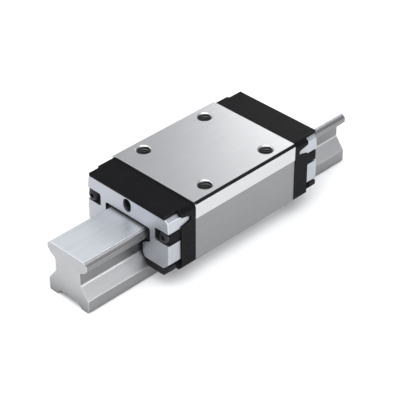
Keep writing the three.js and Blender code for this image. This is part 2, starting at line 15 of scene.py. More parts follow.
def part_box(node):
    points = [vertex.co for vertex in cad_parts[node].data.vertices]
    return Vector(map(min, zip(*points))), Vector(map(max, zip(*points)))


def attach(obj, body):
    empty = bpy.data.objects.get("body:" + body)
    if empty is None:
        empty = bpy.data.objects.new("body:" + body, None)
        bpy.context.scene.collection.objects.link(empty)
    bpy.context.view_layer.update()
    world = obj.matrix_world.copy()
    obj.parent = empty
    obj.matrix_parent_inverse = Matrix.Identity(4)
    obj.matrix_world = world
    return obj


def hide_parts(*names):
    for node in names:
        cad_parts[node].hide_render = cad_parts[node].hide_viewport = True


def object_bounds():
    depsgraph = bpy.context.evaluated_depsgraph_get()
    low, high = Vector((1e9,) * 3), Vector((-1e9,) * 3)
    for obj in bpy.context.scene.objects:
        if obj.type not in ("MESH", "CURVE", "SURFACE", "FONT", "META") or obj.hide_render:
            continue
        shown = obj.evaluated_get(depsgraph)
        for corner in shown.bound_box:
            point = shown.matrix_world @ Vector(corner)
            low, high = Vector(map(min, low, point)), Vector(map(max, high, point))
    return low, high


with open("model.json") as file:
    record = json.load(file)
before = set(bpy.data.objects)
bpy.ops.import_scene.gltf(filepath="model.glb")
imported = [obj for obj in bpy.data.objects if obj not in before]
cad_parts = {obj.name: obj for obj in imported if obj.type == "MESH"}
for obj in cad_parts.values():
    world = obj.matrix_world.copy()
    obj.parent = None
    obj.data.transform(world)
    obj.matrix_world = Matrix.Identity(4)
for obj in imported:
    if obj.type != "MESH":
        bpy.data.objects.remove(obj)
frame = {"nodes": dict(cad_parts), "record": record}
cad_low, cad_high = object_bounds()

MM = 0.001
SIDES = (("left", 1), ("right", -1))
ENDS = (("front", -1), ("rear", 1))
ROWS = ("upper", "lower")


def span(node):
    """The lowest and highest corner of a CAD node, in millimetres."""
    low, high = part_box(node)
    return low / MM, high / MM


def centre_of(node):
    low, high = span(node)
    return (low + high) / 2


def opening_places(prefix):
    """The (x, y) of each opening of the record whose name starts with a prefix."""
    found = [o for o in frame["record"]["physics"]["openings"] if o["name"].startswith(prefix)]
    return [tuple(sum(corner[i] for corner in o["box_m"]) / 2 / MM for i in (0, 1)) for o in found]


# ---------------------------------------------------------------- sizes, in millimetres

RAIL_HIGH = span("guide_rail")[1]
STRIP_LOW, STRIP_HIGH = span("rail_cover_strip")
BLOCK_LOW, BLOCK_HIGH = span("runner_block")
CAP_LOW, CAP_HIGH = span("end_cap_rear")
TRAY_LOW, TRAY_HIGH = span("scraper_plate_rear")
SEAL_LOW, SEAL_HIGH = span("end_seal_rear")

RAIL_HALF = RAIL_HIGH.y
RAIL_TOP = RAIL_HIGH.z
BASE_TOP = 6.0
WAIST_HALF = 7.2
WAIST_LOW, WAIST_HIGH = 12.0, 17.2
CHANNEL_HALF, CHANNEL_DEPTH = 7.5, 2.4
RAIL_HOLE_RADIUS, COUNTERBORE_RADIUS, COUNTERBORE_DEPTH = 3.5, 5.5, 12.0

BALL_RADIUS = 2.0
BALL_PITCH = 5.9
RACEWAY_RADIUS = 2.1
BALL_ROOM = 0.35
BALL_Y = 12.3
BALL_Z = {"upper": 24.6, "lower": 18.6}
UPWARD = {"upper": 1, "lower": -1}

BLOCK_HALF_LENGTH = BLOCK_HIGH.x
BLOCK_HALF = BLOCK_HIGH.y
BLOCK_BOTTOM, BLOCK_TOP = BLOCK_LOW.z, BLOCK_HIGH.z
TOP_CHAMFER, FOOT_CHAMFER = 1.0, 2.0
SIDE_STEP = 0.35
CORNER_WEDGE = 0.35
BAND_LOW = 28.4
CEILING = 27.6
LEG_INNER = 12.6
WEB_FACE = 15.2
SEAL_SEAT_HALF, SEAL_SEAT_TOP = 15.8, 8.6
PLATE_SIDE, PLATE_FAR = 2.65, 4.25
BOLT_RADIUS, BOLT_DEPTH, BOLT_PITCH = 3.0, 9.0, 1.0
TUBE_HOLE_RADIUS, SCREW_HOLE_RADIUS = 2.78, 1.72

CAP_STEP, CAP_FACE = 36.5, 39.2
HOOD_FACE = CAP_HIGH.x
HOOD_HALF, HOOD_UNDERSIDE, HOOD_SIDES_FROM = 21.4, 33.95, 30.0
SEAM_AT, SEAM_SIZE = 30.9, 0.3
RECESS_DEPTH, RECESS_WALL = 1.28, 1.6
SCREW_CROWN, SCREW_HEAD_RADIUS = 1.35, 2.6
BOSS_FACE = span("cap_screw_rear_left")[1].x - SCREW_CROWN - 0.02
BOSS_Y, BOSS_Z = (16.0, 23.3), (22.15, 27.25)
TRAY_BACK, TRAY_FACE = 36.6, TRAY_HIGH.x
TRAY_SHEET, TRAY_GAP = 1.2, 0.06
NOTCH_INNER, NOTCH_LOW, NOTCH_HIGH = 15.6, 21.8, 27.6
WING_TIP, WING_LOW, WING_HIGH, WING_TAPER = TRAY_LOW.x, 28.2, 32.6, 1.1
WING_ROOT = 18.0
SLOT_RADIUS, SLOT_LOW, SLOT_HIGH = 2.2, 29.2, 30.8
LEDGE_TOP = 11.4
SCREW_CENTRE = centre_of("cap_screw_rear_left")
PORT_CENTRE = centre_of("lube_plug_rear")
PORT_RADIUS = PORT_CENTRE.y - span("lube_plug_rear")[0].y

# How far tools reach to the side and up, past the whole carriage.
ASIDE, ABOVE = 30, 40

# Points of a mesh that are closer than this become one.
WELD = 0.0001


# ---------------------------------------------------------------- outlines

def arc(y, z, radius, start, stop, steps):
    """Points of an arc round (y, z), from one angle to another in degrees."""
    angles = np.radians(np.linspace(start, stop, steps + 1))
    return [(y + radius * math.cos(a), z + radius * math.sin(a)) for a in angles]


def rounded(corners, steps=5):
    """A closed outline from (y, z, radius) corners, each turned into an arc of its radius."""
    points = []
    for i, (y, z, radius) in enumerate(corners):
        here = Vector((y, z))
        if radius == 0:
            points.append((y, z))
            continue
        back = (Vector(corners[i - 1][:2]) - here).normalized()
        on = (Vector(corners[(i + 1) % len(corners)][:2]) - here).normalized()
        half = back.angle(on) / 2
        centre = here + (back + on).normalized() * (radius / math.sin(half))
        first = here + back * (radius / math.tan(half)) - centre
        last = here + on * (radius / math.tan(half)) - centre
        sweep = first.angle_signed(last)
        for k in range(steps + 1):
            turn = Matrix.Rotation(-sweep * k / steps, 2)
            points.append(tuple(centre + turn @ first))
    return points


def flipped(outline, side):
    return [(side * p[0], *p[1:]) for p in outline]


def both_sides(half):
    return [*half, *flipped(half, -1)[::-1]]


def grown(outline, distance):
    """A closed, anticlockwise outline moved outwards, each corner along its mitre."""
    points = np.array([p[:2] for p in outline])
    before = points - np.roll(points, 1, 0)
    before /= np.linalg.norm(before, axis=1)[:, None]
    after = np.roll(before, -1, 0)
    normal = np.stack([before[:, 1], -before[:, 0]], 1)
    mitre = normal + np.stack([after[:, 1], -after[:, 0]], 1)
    mitre /= np.linalg.norm(mitre, axis=1)[:, None]
    reach = distance / np.sum(mitre * normal, 1)
    return [tuple(p) for p in points + mitre * reach[:, None]]


def rail_outline():
    """A flat base, sides sloping in to a waist, and a head with two raceways on each side."""
    side = math.degrees(math.acos((RAIL_HALF - BALL_Y) / RACEWAY_RADIUS))
    half = [
        (CHANNEL_HALF - CHANNEL_DEPTH, CHANNEL_DEPTH),
        (CHANNEL_HALF, 0),
        (RAIL_HALF - 0.6, 0),
        (RAIL_HALF, 0.6),
        *arc(RAIL_HALF - 1.2, BASE_TOP - 0.5, 1.2, 0, 35, 4),
        *arc(WAIST_HALF + 2.0, WAIST_LOW + 0.2, 2.0, 215, 180, 5),
        *arc(WAIST_HALF + 1.0, WAIST_HIGH - 0.4, 1.0, 180, 122, 5),
        *arc(BALL_Y, BALL_Z["lower"], RACEWAY_RADIUS, 165, side, 10),
        *arc(BALL_Y, BALL_Z["upper"], RACEWAY_RADIUS, 360 - side, 206, 10),
        (RAIL_HALF - 1.4, RAIL_TOP),
    ]
    return both_sides(half)


def from_ball(row, out, across):
    """A point measured from a loaded ball's centre, along its 45 degree contact line and across it."""
    y = BALL_Y + (out - across) * math.sqrt(0.5)
    z = BALL_Z[row] + UPWARD[row] * (out + across) * math.sqrt(0.5)
    return y, z


def block_outline():
    """The block's section, with the ground reference band standing proud along the top of each side."""
    side = BLOCK_HALF - SIDE_STEP
    roof = (CEILING - BALL_Z["upper"]) / math.sqrt(0.5) - PLATE_SIDE
    web = (WEB_FACE - BALL_Y) / math.sqrt(0.5) - PLATE_SIDE
    leg = (LEG_INNER - BALL_Y) / math.sqrt(0.5) + PLATE_SIDE
    half = [
        (LEG_INNER, SEAL_SEAT_TOP, 0),
        (SEAL_SEAT_HALF, SEAL_SEAT_TOP, 0),
        (SEAL_SEAT_HALF, BLOCK_BOTTOM, 0),
        (side - FOOT_CHAMFER, BLOCK_BOTTOM, 0.6),
        (side, BLOCK_BOTTOM + FOOT_CHAMFER, 0.6),
        (side, BAND_LOW - SIDE_STEP, 0),
        (BLOCK_HALF, BAND_LOW, 0),
        (BLOCK_HALF, BLOCK_TOP - TOP_CHAMFER, 0),
        (BLOCK_HALF - TOP_CHAMFER, BLOCK_TOP, 0),
    ]
    cavity = [
        (*from_ball("upper", roof, PLATE_SIDE), 0),
        (*from_ball("upper", PLATE_FAR, PLATE_SIDE), 0),
        (*from_ball("upper", PLATE_FAR, -PLATE_SIDE), 0),
        (*from_ball("upper", web, -PLATE_SIDE), 0),
        (*from_ball("lower", web, -PLATE_SIDE), 0),
        (*from_ball("lower", PLATE_FAR, -PLATE_SIDE), 0),
        (*from_ball("lower", PLATE_FAR, PLATE_SIDE), 0),
        (*from_ball("lower", leg, PLATE_SIDE), 0),
    ]
    return rounded([*both_sides(half), *flipped(cavity[::-1], -1), *cavity], steps=4)


def arch_outline(half, shoulder, crown, top, bottom, foot, corner=1.6):
    """The outside of everything at the carriage's ends, as if there were no rail through it."""
    return rounded(both_sides([
        (half - foot, bottom, 0.8),
        (half, bottom + foot, 0.8),
        (half, shoulder, 2.0),
        (crown + 0.9, top - 1.4, corner * 0.5),
        (crown - 0.7, top, corner),
    ]))


CAP_ARCH = dict(half=CAP_HIGH.y, shoulder=27.8, crown=23.1, top=CAP_HIGH.z, bottom=CAP_LOW.z, foot=2.0)
TRAY_ARCH = dict(half=TRAY_HIGH.y, shoulder=28.4, crown=21.9, top=TRAY_HIGH.z, bottom=TRAY_LOW.z,
                 foot=3.2)
CAP_DOORWAY = [(12.4, -1, 0), (12.4, 25.1, 0.9)]
TRAY_DOORWAY = [(9.55, -1, 0), (9.55, TRAY_LOW.z, 0), (8.5, 12.3, 0.5), (8.5, 16.6, 0.5), (10.6, 17.9, 0.4),
                (12.75, 19.0, 0.6), (12.75, 25.45, 1.1)]


def doorway(half, end, xa, xb):
    """A tool for the opening that the rail passes through."""
    return prism(rounded(both_sides(half)), end * xa, end * xb)


def inset(arch, d):
    return {**arch, "half": arch["half"] - d, "crown": arch["crown"] - d, "top": arch["top"] - d,
            "bottom": arch["bottom"] + d}


# ---------------------------------------------------------------- solids, in millimetres

def piece_from(bm, name="work"):
    mesh = bpy.data.meshes.new(name)
    bmesh.ops.recalc_face_normals(bm, faces=bm.faces)
    bm.to_mesh(mesh)
    bm.free()
    obj = bpy.data.objects.new(name, mesh)
    bpy.context.scene.collection.objects.link(obj)
    return obj


def lofted(rings, closed=False):
    """A solid through rings of equally many points; a closed one joins its last ring to its first."""
    bm = bmesh.new()
    loops = [[bm.verts.new(p) for p in ring] for ring in rings]
    pairs = list(zip(loops, loops[1:]))
    if closed:
        pairs.append((loops[-1], loops[0]))
    else:
        bm.faces.new(loops[0])
        bm.faces.new(loops[-1][::-1])
    for low, high in pairs:
        for i, corner in enumerate(low):
            after = (i + 1) % len(low)
            bm.faces.new((corner, low[after], high[after], high[i]))
    return piece_from(bm)


def prism(outline, xa, xb, edge=0.0, both=False, steps=3):
    """An outline swept along X, with the edge at xb (or at both ends) rounded by `edge`."""
    turn = 1 if xb > xa else -1
    stations = [(xa, 0)]
    if edge:
        arcs = [(edge * (1 - math.sin(math.pi / 2 * k / steps)),
                 edge * (1 - math.cos(math.pi / 2 * k / steps))) for k in range(steps + 1)]
        if both:
            stations = [(xa + turn * x, d) for x, d in reversed(arcs)]
        stations += [(xb - turn * x, d) for x, d in arcs]
    else:
        stations.append((xb, 0))
    return lofted([[(x, y, z) for y, z in (grown(outline, -d) if d else outline)] for x, d in stations])


def turned(profile, at, axis, segments=48):
    """A profile of (radius, distance) points turned about the line that leaves `at` along `axis`."""
    axis = Vector(axis).normalized()
    across = axis.orthogonal().normalized()
    other = axis.cross(across)
    bm = bmesh.new()
    rings = []
    for radius, distance in profile:
        centre = Vector(at) + axis * distance
        if radius == 0:
            rings.append([bm.verts.new(centre)])
            continue
        angles = [2 * math.pi * k / segments for k in range(segments)]
        rings.append([bm.verts.new(centre + radius * (across * math.cos(a) + other * math.sin(a)))
                      for a in angles])
    for low, high in zip(rings, rings[1:]):
        for i in range(segments):
            j = (i + 1) % segments
            corners = [low[i % len(low)], low[j % len(low)], high[j % len(high)], high[i % len(high)]]
            bm.faces.new(list(dict.fromkeys(corners)))
    return piece_from(bm)


def rod(radius, length, at, axis, segments=48):
    return turned([(0, 0), (radius, 0), (radius, length), (0, length)], at, axis, segments)


def slab(xa, xb, ya, yb, za, zb, edge=0.0):
    """A block between two corners, its upright edges rounded by `edge`."""
    outline = [(min(ya, yb), min(za, zb), edge), (max(ya, yb), min(za, zb), edge),
               (max(ya, yb), max(za, zb), edge), (min(ya, yb), max(za, zb), edge)]
    return prism(rounded(outline), xa, xb)


def plate(outline, ya, yb):
    """A closed outline of (x, z) points swept along Y."""
    return lofted([[(x, y, z) for x, z in outline] for y in (ya, yb)])


def combined(base, tools, operation):
    """base with each tool joined to it or cut from it, one after another."""
    for tool in tools:
        modifier = base.modifiers.new("cut", "BOOLEAN")
        modifier.operation = operation
        modifier.solver = "EXACT"
        modifier.object = tool
        graph = bpy.context.evaluated_depsgraph_get()
        graph.update()
        mesh = bpy.data.meshes.new_from_object(base.evaluated_get(graph))
        base.modifiers.clear()
        base.data = mesh
        bpy.data.objects.remove(tool)
    return base


def cut(base, *tools):
    return combined(base, tools, "DIFFERENCE")


def joined(base, *tools):
    return combined(base, tools, "UNION")


def finish_surface(obj, bevel, angle=32):
    """Small bevels on the sharp edges, and smooth shading between them."""
    obj.data.shade_smooth()
    obj.data.set_sharp_from_angle(angle=math.radians(angle))
    if bevel:
        modifier = obj.modifiers.new("edges", "BEVEL")
        modifier.width = bevel * MM
        modifier.segments = 2
        modifier.limit_method = "ANGLE"
        modifier.angle_limit = math.radians(angle)
        modifier.use_clamp_overlap = True
        modifier.miter_outer = "MITER_ARC"
    normals = obj.modifiers.new("normals", "WEIGHTED_NORMAL")
    normals.keep_sharp = True


def put(obj, name, body, look, nodes=(), bevel=0.12, angle=32, others=()):
    """Scales a finished piece to metres, dresses it, and puts it on its body."""
    obj.name = name
    obj.data.name = name
    bm = bmesh.new()
    bm.from_mesh(obj.data)
    bmesh.ops.remove_doubles(bm, verts=bm.verts, dist=WELD)
    bmesh.ops.dissolve_degenerate(bm, edges=bm.edges, dist=WELD)
    bm.to_mesh(obj.data)
    bm.free()
    obj.data.transform(Matrix.Scale(MM, 4))
    obj.data.materials.clear()
    obj.data.materials.append(LOOKS[look])
    for index, (other, chosen) in enumerate(others, 1):
        obj.data.materials.append(LOOKS[other])
        for face in obj.data.polygons:
            if chosen(face.center / MM, face.normal):
                face.material_index = index
    finish_surface(obj, bevel, angle)
    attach(obj, body)
    if nodes:
        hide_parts(*nodes)


# ---------------------------------------------------------------- materials

class Look:
    """A node material under construction: one Principled shader and helpers for what feeds it."""

    def __init__(self, name, roughness, metallic=0.0, **settings):
        self.material = bpy.data.materials.new(name)
        self.material.use_nodes = True
        self.tree = self.material.node_tree
        self.shader = self.tree.nodes["Principled BSDF"]
        self.shader.inputs["Metallic"].default_value = metallic
        self.shader.inputs["Roughness"].default_value = roughness
        for key, value in settings.items():
            self.shader.inputs[key.replace("_", " ")].default_value = value
        self.coordinates = self.node("ShaderNodeTexCoord").outputs["Object"]
        self.normal = None

    def node(self, kind, inputs=None, **settings):
        made = self.tree.nodes.new(kind)
        for key, value in settings.items():
            setattr(made, key, value)
        for key, value in (inputs or {}).items():
            self.feed(made.inputs[key], value)
        return made

    def feed(self, socket, value):
        if isinstance(value, bpy.types.NodeSocket):
            self.tree.links.new(value, socket)
        else:
            socket.default_value = value

    def noise(self, scale, detail=4.0, roughness=0.55, distortion=0.0, turn=(0, 0, 0)):
        """Noise with its own number of cells per metre along X, Y and Z."""
        place = self.node("ShaderNodeMapping", {"Vector": self.coordinates, "Scale": scale,
                                                "Rotation": turn})
        inputs = {"Vector": place.outputs[0], "Scale": 1.0, "Detail": detail,
                  "Roughness": roughness, "Distortion": distortion}
        return self.node("ShaderNodeTexNoise", inputs).outputs["Fac"]

    def ramp(self, value, *stops):
        """Maps a value through (position, grey) stops."""
        made = self.node("ShaderNodeValToRGB", {"Fac": value})
        elements = made.color_ramp.elements
        while len(elements) < len(stops):
            elements.new(0.5)
        for element, (position, grey) in zip(elements, stops):
            element.position = position
            element.color = (grey, grey, grey, 1)
        return made.outputs["Color"]

    def math(self, operation, *values, clamp=False):
        made = self.node("ShaderNodeMath", operation=operation, use_clamp=clamp)
        for socket, value in zip(made.inputs, values):
            self.feed(socket, value)
        return made.outputs[0]

    def mix(self, share, a, b, blend="MIX"):
        """Colour a where share is 0, b (or a blended with b) where it is 1."""
        made = self.node("ShaderNodeMix", data_type="RGBA", blend_type=blend)
        self.feed(made.inputs["Factor"], share)
        self.feed(made.inputs[6], (*a, 1) if isinstance(a, tuple) else a)
        self.feed(made.inputs[7], (*b, 1) if isinstance(b, tuple) else b)
        return made.outputs[2]

    def bump(self, height, depth):
        """Adds a height, `depth` millimetres from low to high, on top of the bumps so far."""
        inputs = {"Height": height, "Distance": depth * MM, "Strength": 1.0}
        if self.normal is not None:
            inputs["Normal"] = self.normal
        self.normal = self.node("ShaderNodeBump", inputs).outputs["Normal"]

    def edges(self, radius):
        """1 on edges that stand out or in, within a radius in millimetres, and 0 on flat ground."""
        bevel = self.node("ShaderNodeBevel", {"Radius": radius * MM}, samples=6)
        plain = self.node("ShaderNodeNewGeometry").outputs["Normal"]
        dot = self.node("ShaderNodeVectorMath", {0: bevel.outputs[0], 1: plain},
                        operation="DOT_PRODUCT").outputs["Value"]
        return self.ramp(dot, (0.80, 1.0), (0.985, 0.0))

    def crevice(self, distance):
        """1 in the open, falling towards 0 in corners closer than a distance in millimetres."""
        made = self.node("ShaderNodeAmbientOcclusion", {"Distance": distance * MM}, samples=6)
        return made.outputs["AO"]

    def done(self, color, roughness=None):
        self.feed(self.shader.inputs["Base Color"], color)
        if roughness is not None:
            self.feed(self.shader.inputs["Roughness"], roughness)
        if self.normal is not None:
            self.feed(self.shader.inputs["Normal"], self.normal)
        return self.material


def tinted(color, factor):
    return tuple(min(1.0, c * factor) for c in color)


def worked_steel(name, color, roughness, grain, scratch=0.5, blotch=0.5, reach=5, open_at=0.75):
    """Bare steel worked along one direction: fine grain lines, handling scratches and soft blotches.

    grain is the cells per metre along X, Y and Z, few along the tool's path and many across it. Painted
    shade, partly oily dirt, darkens the colour where other surfaces are within `reach` millimetres, and
    ends at `open_at`.
    """
    look = Look(name, roughness, metallic=1.0)
    lines = look.noise(grain, detail=3, roughness=0.7)
    finer = look.noise(tuple(g * 2.7 for g in grain), detail=2, roughness=0.6)
    clouds = look.noise((55, 70, 90), detail=5, roughness=0.6)
    stains = look.noise((14, 22, 30), detail=6, roughness=0.62, distortion=0.8)
    strokes = look.noise((900, 38, 300), detail=2, roughness=0.4, distortion=1.4, turn=(0.3, 0.2, 0.55))
    hairlines = look.ramp(strokes, (0.494, 0.0), (0.4985, 1.0), (0.503, 0.0))
    kept = look.ramp(clouds, (0.5, 0.0), (0.62, 1.0))
    hairlines = look.math("MULTIPLY", hairlines, kept)
    hairlines = look.math("MULTIPLY", hairlines, scratch)
    worn = look.edges(0.5)
    # painted shade: an occlusion mask, partly oily dirt, that is 1 where other surfaces come near
    grime_and_painted_shade = look.ramp(look.crevice(reach), (open_at - 0.6, 1.0), (open_at, 0.0))

    shade = look.ramp(lines, (0.3, 0.88), (0.7, 1.0))
    tone = look.mix(look.ramp(clouds, (0.35, 0.0), (0.7, blotch)), color, tinted(color, 0.93))
    tone = look.mix(look.ramp(stains, (0.52, 0.0), (0.68, 0.35 * blotch)), tone, tinted(color, 0.85))
    tone = look.mix(1.0, tone, shade, blend="MULTIPLY")
    tone = look.mix(look.math("MULTIPLY", worn, 0.35), tone, tinted(color, 1.12))
    # painted shade: inside that mask the colour is pulled towards near-black
    tone = look.mix(look.math("MULTIPLY", grime_and_painted_shade, 0.85), tone, (0.05, 0.048, 0.045))

    rough = look.math("MULTIPLY_ADD", lines, 0.16, roughness - 0.08)
    rough = look.math("ADD", rough, look.math("MULTIPLY", clouds, 0.07 * blotch))
    rough = look.math("SUBTRACT", rough, look.math("MULTIPLY", worn, 0.08))
    rough = look.math("ADD", rough, look.math("MULTIPLY", hairlines, 0.2), clamp=True)
    look.bump(lines, 0.010)
    look.bump(finer, 0.004)
    look.bump(hairlines, -0.008)
    return look.done(tone, rough)


def moulded_plastic(name, color, roughness, grain=0.03):
    """Injection-moulded plastic: a fine spark-eroded texture, soft sheen changes and rubbed edges."""
    look = Look(name, roughness, Specular_IOR_Level=0.05)
    pits = look.noise((5200, 5200, 5200), detail=3, roughness=0.6)
    coarse = look.noise((1500, 1500, 1500), detail=3, roughness=0.5)
    flow = look.noise((60, 150, 110), detail=5, roughness=0.6, distortion=1.0)
    dust = look.noise((2600, 2600, 2600), detail=1, roughness=0.4)
    specks = look.ramp(dust, (0.70, 0.0), (0.76, 1.0))
    worn = look.edges(0.45)
    tone = look.mix(look.ramp(flow, (0.35, 0.0), (0.72, 0.8)), color, tinted(color, 1.45))
    tone = look.mix(look.math("MULTIPLY", worn, 0.4), tone, tuple(min(1, c * 1.6 + 0.03) for c in color))
    tone = look.mix(look.math("MULTIPLY", specks, 0.12), tone, (0.35, 0.34, 0.32))
    rough = look.math("MULTIPLY_ADD", flow, 0.14, roughness - 0.07)
    rough = look.math("ADD", rough, look.math("MULTIPLY", pits, 0.08))
    rough = look.math("SUBTRACT", rough, look.math("MULTIPLY", worn, 0.12), clamp=True)
    look.bump(pits, grain)
    look.bump(coarse, grain * 0.8)
    return look.done(tone, rough)


def sealing_rubber(name, color):
    """Black nitrile rubber: matt, faintly dusty, with a fine wiped grain."""
    look = Look(name, 0.72, Specular_IOR_Level=0.10, Sheen_Weight=0.04, Sheen_Roughness=0.5)
    grain = look.noise((3600, 3600, 3600), detail=3, roughness=0.6)
    wiped = look.noise((120, 900, 900), detail=4, roughness=0.6)
    worn = look.edges(0.35)
    tone = look.mix(look.ramp(wiped, (0.4, 0.0), (0.75, 0.7)), color, tinted(color, 1.8))
    tone = look.mix(look.math("MULTIPLY", worn, 0.3), tone, tuple(c + 0.03 for c in color))
    rough = look.math("MULTIPLY_ADD", wiped, 0.2, 0.62)
    look.bump(grain, 0.02)
    look.bump(wiped, 0.015)
    return look.done(tone, rough)


def black_oxide(name, color):
    """Blackened screw steel: nearly black, oily, with the bright metal rubbed through on edges."""
    look = Look(name, 0.38, metallic=0.85)
    grain = look.noise((2400, 2400, 2400), detail=4, roughness=0.6)
    clouds = look.noise((300, 300, 300), detail=3, roughness=0.5)
    worn = look.math("MULTIPLY", look.edges(0.25), look.ramp(clouds, (0.4, 0.1), (0.65, 0.8)))
    tone = look.mix(look.ramp(clouds, (0.35, 0.0), (0.7, 1.0)), color, tinted(color, 1.9))
    tone = look.mix(worn, tone, (0.32, 0.32, 0.33))
    rough = look.math("MULTIPLY_ADD", grain, 0.2, 0.28)
    look.bump(grain, 0.012)
    return look.done(tone, rough)


def polished_ball(name, color):
    look = Look(name, 0.08, metallic=1.0)
    marks = look.noise((1800, 900, 1300), detail=4, roughness=0.7)
    tone = look.mix(look.ramp(marks, (0.4, 0.0), (0.8, 0.6)), color, tinted(color, 0.85))
    rough = look.math("MULTIPLY_ADD", marks, 0.10, 0.05)
    look.bump(marks, 0.002)
    return look.done(tone, rough)


def floor_paper(name):
    look = Look(name, 0.85, Specular_IOR_Level=0.2)
    fibres = look.noise((900, 900, 900), detail=4, roughness=0.6)
    tone = look.mix(look.ramp(fibres, (0.3, 0.0), (0.7, 1.0)), (0.945, 0.945, 0.945), (0.93, 0.93, 0.93))
    return look.done(tone)


LOOKS = {
    "ground_steel": worked_steel("ground_steel", (0.585, 0.585, 0.59), 0.34, (60, 5200, 5200)),
    # drawn finish, with its colour darkened to paint the shade on side faces: the block's sides and the
    # rail's foot
    "drawn_steel_painted_shade": worked_steel("drawn_steel_painted_shade", (0.26, 0.26, 0.265), 0.42, (45, 2600, 2600), scratch=0.3),
    "milled_steel": worked_steel("milled_steel", (0.38, 0.38, 0.385), 0.40, (45, 2600, 2600)),
    # painted shade: the rail's raceway sides get a darker copy of the steel colour, and a wide occlusion
    # shade that deepens near the carriage
    "race_steel_painted_shade": worked_steel("race_steel_painted_shade", (0.235, 0.235, 0.24), 0.40, (45, 3200, 3200), scratch=0.3,
                               reach=16, open_at=0.92),
    # painted shade: the sawn rail ends darken towards the floor through a wide occlusion mask
    "sawn_steel": worked_steel("sawn_steel", (0.45, 0.45, 0.455), 0.48, (400, 260, 2600), reach=14,
                               open_at=0.9),
    # painted shade: a darker copy of the scraper plate's steel, for its side faces
    "folded_steel_painted_shade": worked_steel("folded_steel_painted_shade", (0.42, 0.438, 0.47), 0.42, (2600, 140, 2600)),
    # painted shade: dark steel for the walls and threads of the tapped holes, where shade falls
    "bored_steel_painted_shade": worked_steel("bored_steel_painted_shade", (0.10, 0.10, 0.102), 0.42, (2400, 2400, 300), scratch=0.1),
    # painted reflection and shade: near-black steel for the dark reflection on the block's top chamfers and
    # the shade in the rail's underside channel
    "dark_steel_painted_shade_and_reflection": worked_steel("dark_steel_painted_shade_and_reflection", (0.022, 0.022, 0.023), 0.50, (300, 2400, 2400), scratch=0.2),
    "hard_steel": worked_steel("hard_steel", (0.44, 0.45, 0.46), 0.24, (80, 4200, 4200), blotch=0.3),
    "strip_steel": worked_steel("strip_steel", (0.86, 0.88, 0.915), 0.44, (30, 3600, 3600), scratch=0.8),
    "scraper_steel": worked_steel("scraper_steel", (0.47, 0.487, 0.52), 0.48, (2600, 140, 2600)),
    "black_plastic": moulded_plastic("black_plastic", (0.0035, 0.0035, 0.004), 0.46),
    "pale_plastic": moulded_plastic("pale_plastic", (0.60, 0.57, 0.49), 0.5, grain=0.015),
    "seal_rubber": sealing_rubber("seal_rubber", (0.007, 0.007, 0.008)),
    "black_steel": black_oxide("black_steel", (0.020, 0.020, 0.022)),
    "ball_steel": polished_ball("ball_steel", (0.80, 0.81, 0.82)),
}


# ---------------------------------------------------------------- rail

def make_rail():
    length = RAIL_HIGH.x
    rail = prism(rail_outline(), -length, length, edge=0.25, both=True)
    floor = RAIL_TOP - COUNTERBORE_DEPTH
    profile = [(0, -1), (RAIL_HOLE_RADIUS + 0.4, -1), (RAIL_HOLE_RADIUS + 0.4, CHANNEL_DEPTH),
               (RAIL_HOLE_RADIUS, CHANNEL_DEPTH + 0.4), (RAIL_HOLE_RADIUS, floor),
               (COUNTERBORE_RADIUS, floor), (COUNTERBORE_RADIUS, RAIL_TOP + 1), (0, RAIL_TOP + 1)]
    tools = [turned(profile, (x, 0, 0), (0, 0, 1)) for x, _ in opening_places("rail_screw")]

    # the raceway sides take the darker steel colour: painted shade
    def is_race(centre, normal):
        return abs(normal.x) < 0.5 and WAIST_LOW - 0.3 < centre.z < RAIL_TOP - 0.2

    def is_slope(centre, normal):
        return abs(normal.x) < 0.5 and BASE_TOP < centre.z < WAIST_LOW

    def is_foot(centre, normal):
        return abs(normal.y) > 0.8 and centre.z < BASE_TOP

    def is_end(centre, normal):
        return abs(normal.x) > 0.9 and abs(centre.x) > length - 1

    # the underside channel is coloured near-black: painted shade
    def is_channel(centre, normal):
        return centre.z < CHANNEL_DEPTH + 0.1 and abs(centre.y) < CHANNEL_HALF and abs(normal.x) < 0.5

    put(cut(rail, *tools), "rail_body", "rail", "ground_steel", ["guide_rail"], bevel=0.1,
        others=[("race_steel_painted_shade", is_race), ("milled_steel", is_slope), ("drawn_steel_painted_shade", is_foot),
                ("sawn_steel", is_end), ("dark_steel_painted_shade_and_reflection", is_channel)])


def make_cover_strip():
    """A flat strip over the screw holes, its upper edges softened."""
    half, low, high = STRIP_HIGH.y, STRIP_LOW.z, STRIP_HIGH.z
    outline = rounded([(-half, low, 0), (half, low, 0), (half, high, 0.12), (-half, high, 0.12)])
    strip = prism(outline, -RAIL_HIGH.x, RAIL_HIGH.x, edge=0.05, both=True, steps=2)
    put(strip, "cover_strip", "rail", "strip_steel", ["rail_cover_strip"], bevel=0)


# ---------------------------------------------------------------- steel block

def end_wedge(end, side):
    """The wedge that takes the upright edge off one corner of the block."""
    x, y = end * BLOCK_HALF_LENGTH, side * BLOCK_HALF
    rings = []
    for z in (0, BLOCK_TOP + 1):
        rings.append([(x - end * CORNER_WEDGE, y + side, z), (x - end * CORNER_WEDGE, y, z),
                      (x, y - side * CORNER_WEDGE, z), (x + end, y - side * CORNER_WEDGE, z),
                      (x + end, y + side, z)])
    return lofted(rings)


